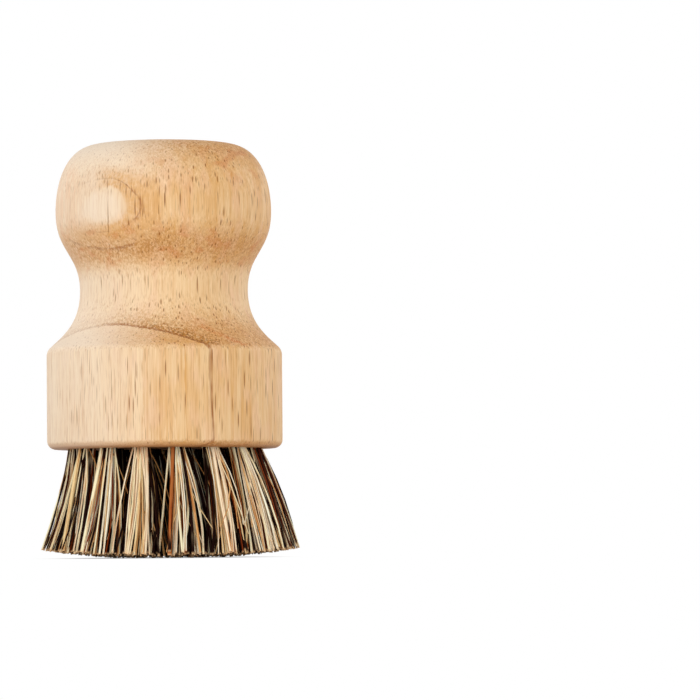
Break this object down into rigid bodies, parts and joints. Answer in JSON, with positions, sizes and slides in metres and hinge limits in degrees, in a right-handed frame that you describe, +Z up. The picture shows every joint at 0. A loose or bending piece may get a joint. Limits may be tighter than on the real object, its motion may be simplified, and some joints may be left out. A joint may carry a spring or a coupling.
{
  "type": "pot brush",
  "caption": "Round wooden pot brush: a turned knob handle with a drilled base, set with stiff plant-fibre tufts that are each held by a flat wire staple.",
  "frame": {"origin": "on the floor under the middle of the brush, which stands on its bristle tips", "axes": "+Z up along the turning axis, from the bristle tips to the top of the knob; the front of the brush faces -Y and +X is to its right"},
  "size_m": [0.0566, 0.0566, 0.0913],
  "materials": {
    "turned_wood": "pale fine-grained hardwood, turned and sanded, satin",
    "plant_fibre": "coarse stiff plant fibre, mixed straw, orange-brown and near-black strands",
    "flat_wire": "flat galvanised anchor wire"
  },
  "bodies": {
    "root": {"wooden_handle": "turned_wood", "tuft_outer_01": "plant_fibre", "tuft_outer_02": "plant_fibre", "tuft_outer_03": "plant_fibre", "tuft_outer_04": "plant_fibre", "tuft_outer_05": "plant_fibre", "tuft_outer_06": "plant_fibre", "tuft_outer_07": "plant_fibre", "tuft_outer_08": "plant_fibre", "tuft_outer_09": "plant_fibre", "tuft_outer_10": "plant_fibre", "tuft_outer_11": "plant_fibre", "tuft_outer_12": "plant_fibre", "tuft_outer_13": "plant_fibre", "tuft_outer_14": "plant_fibre", "tuft_outer_15": "plant_fibre", "tuft_outer_16": "plant_fibre", "tuft_middle_01": "plant_fibre", "tuft_middle_02": "plant_fibre", "tuft_middle_03": "plant_fibre", "tuft_middle_04": "plant_fibre", "tuft_middle_05": "plant_fibre", "tuft_middle_06": "plant_fibre", "tuft_middle_07": "plant_fibre", "tuft_middle_08": "plant_fibre", "tuft_middle_09": "plant_fibre", "tuft_inner_01": "plant_fibre", "tuft_inner_02": "plant_fibre", "tuft_inner_03": "plant_fibre", "tuft_inner_04": "plant_fibre", "staple_outer_01": "flat_wire", "staple_outer_02": "flat_wire", "staple_outer_03": "flat_wire", "staple_outer_04": "flat_wire", "staple_outer_05": "flat_wire", "staple_outer_06": "flat_wire", "staple_outer_07": "flat_wire", "staple_outer_08": "flat_wire", "staple_outer_09": "flat_wire", "staple_outer_10": "flat_wire", "staple_outer_11": "flat_wire", "staple_outer_12": "flat_wire", "staple_outer_13": "flat_wire", "staple_outer_14": "flat_wire", "staple_outer_15": "flat_wire", "staple_outer_16": "flat_wire", "staple_middle_01": "flat_wire", "staple_middle_02": "flat_wire", "staple_middle_03": "flat_wire", "staple_middle_04": "flat_wire", "staple_middle_05": "flat_wire", "staple_middle_06": "flat_wire", "staple_middle_07": "flat_wire", "staple_middle_08": "flat_wire", "staple_middle_09": "flat_wire", "staple_inner_01": "flat_wire", "staple_inner_02": "flat_wire", "staple_inner_03": "flat_wire", "staple_inner_04": "flat_wire"}
  },
  "joints": []
}
